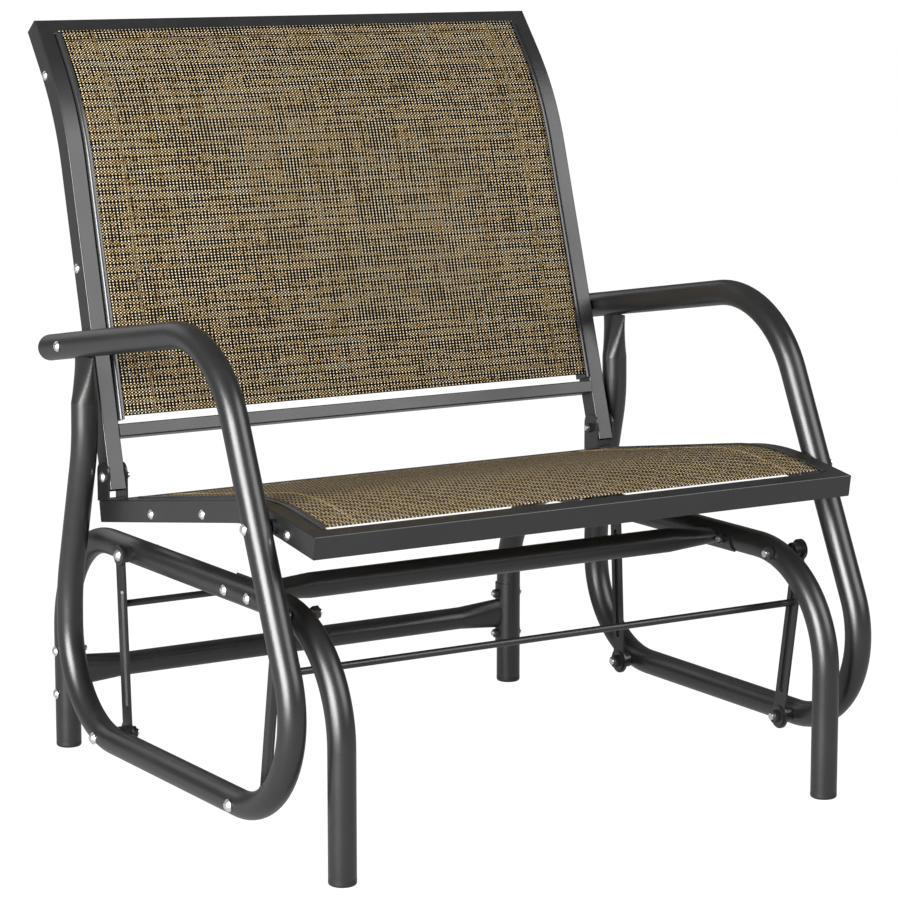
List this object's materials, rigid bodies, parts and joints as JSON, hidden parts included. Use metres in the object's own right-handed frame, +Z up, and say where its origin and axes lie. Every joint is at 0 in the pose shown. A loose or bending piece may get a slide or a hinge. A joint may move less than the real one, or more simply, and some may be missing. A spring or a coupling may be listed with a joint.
{
  "type": "patio glider chair",
  "caption": "Metal patio glider chair: woven sling seat and back on a carriage with looped arms, hung by links from a tube base so that it glides forward and back.",
  "frame": {"origin": "on the floor, under the centre of the chair's bounding box", "axes": "+Z up; the chair faces -Y; +X is the sitter's left"},
  "size_m": [0.7724, 0.6957, 0.8604],
  "materials": {
    "frame": "satin charcoal powder coat",
    "links": "satin black powder coat",
    "sling_bar": "satin charcoal powder coat",
    "zinc": "bright zinc plate",
    "black_hardware": "black oxide",
    "plastic": "moulded, satin",
    "sling": "woven mesh of beige, brown and grey yarns"
  },
  "bodies": {
    "base": {"base_side_tube_left": "frame", "base_side_tube_right": "frame", "front_bar_bolts": "zinc", "front_bar_nuts": "black_hardware", "front_cross_bar": "frame", "front_foot_cap_left": "plastic", "front_foot_cap_right": "plastic", "front_saddle_left": "frame", "front_saddle_right": "frame", "rear_bar_bolts": "zinc", "rear_bar_nuts": "black_hardware", "rear_cross_bar": "frame", "rear_foot_cap_left": "plastic", "rear_foot_cap_right": "plastic", "rear_saddle_left": "frame", "rear_saddle_right": "frame", "upper_pivot_bolts": "zinc", "upper_pivot_nuts": "black_hardware", "upper_pivot_spacers": "black_hardware", "upper_pivot_washers": "black_hardware"},
    "rear_swing_arm": {"rear_link_left": "links", "rear_link_right": "links", "rear_tie_rod": "links"},
    "front_swing_arm": {"front_link_left": "links", "front_link_right": "links", "front_tie_rod": "links"},
    "carriage": {"arm_end_plug_left": "plastic", "arm_end_plug_right": "plastic", "arm_frame_left": "frame", "arm_frame_right": "frame", "arm_front_bolts": "zinc", "arm_front_nuts": "black_hardware", "arm_front_spacers": "black_hardware", "arm_rear_bolts": "zinc", "arm_rear_nuts": "black_hardware", "arm_rear_spacers": "black_hardware", "back_bracket_left": "frame", "back_bracket_right": "frame", "back_lower_bar": "frame", "back_side_rail_left": "frame", "back_side_rail_right": "frame", "back_sling": "sling", "back_sling_bar_left": "sling_bar", "back_sling_bar_right": "sling_bar", "back_sling_screws": "zinc", "back_top_rail": "frame", "bracket_bolts": "zinc", "bracket_nuts": "black_hardware", "lower_pivot_bolts": "zinc", "lower_pivot_nuts": "black_hardware", "lower_pivot_spacers": "black_hardware", "lower_pivot_washers": "black_hardware", "seat_front_rail": "frame", "seat_rear_rail": "frame", "seat_side_rail_left": "frame", "seat_side_rail_right": "frame", "seat_sling": "sling", "seat_sling_bar_left": "sling_bar", "seat_sling_bar_right": "sling_bar", "seat_sling_screws": "zinc"}
  },
  "joints": [
    {"name": "rear_swing", "type": "hinge", "parent": "base", "child": "rear_swing_arm", "pos_m": [0, 0.12, 0.2695], "axis": [1, 0, 0], "range_deg": [-10, 10]},
    {"name": "carriage_glide", "type": "hinge", "parent": "rear_swing_arm", "child": "carriage", "pos_m": [0, 0.10851, 0.06582], "axis": [1, 0, 0], "range_deg": [-11.4, 11.4]},
    {"name": "front_swing", "type": "hinge", "parent": "base", "child": "front_swing_arm", "pos_m": [0, -0.2475, 0.2673], "axis": [1, 0, 0], "range_deg": [-10.2, 10.2]}
  ],
  "couplings": [
    {"joint": "carriage_glide", "follows": "rear_swing", "ratio": -1.1343},
    {"joint": "front_swing", "follows": "rear_swing", "ratio": 1.0111}
  ]
}
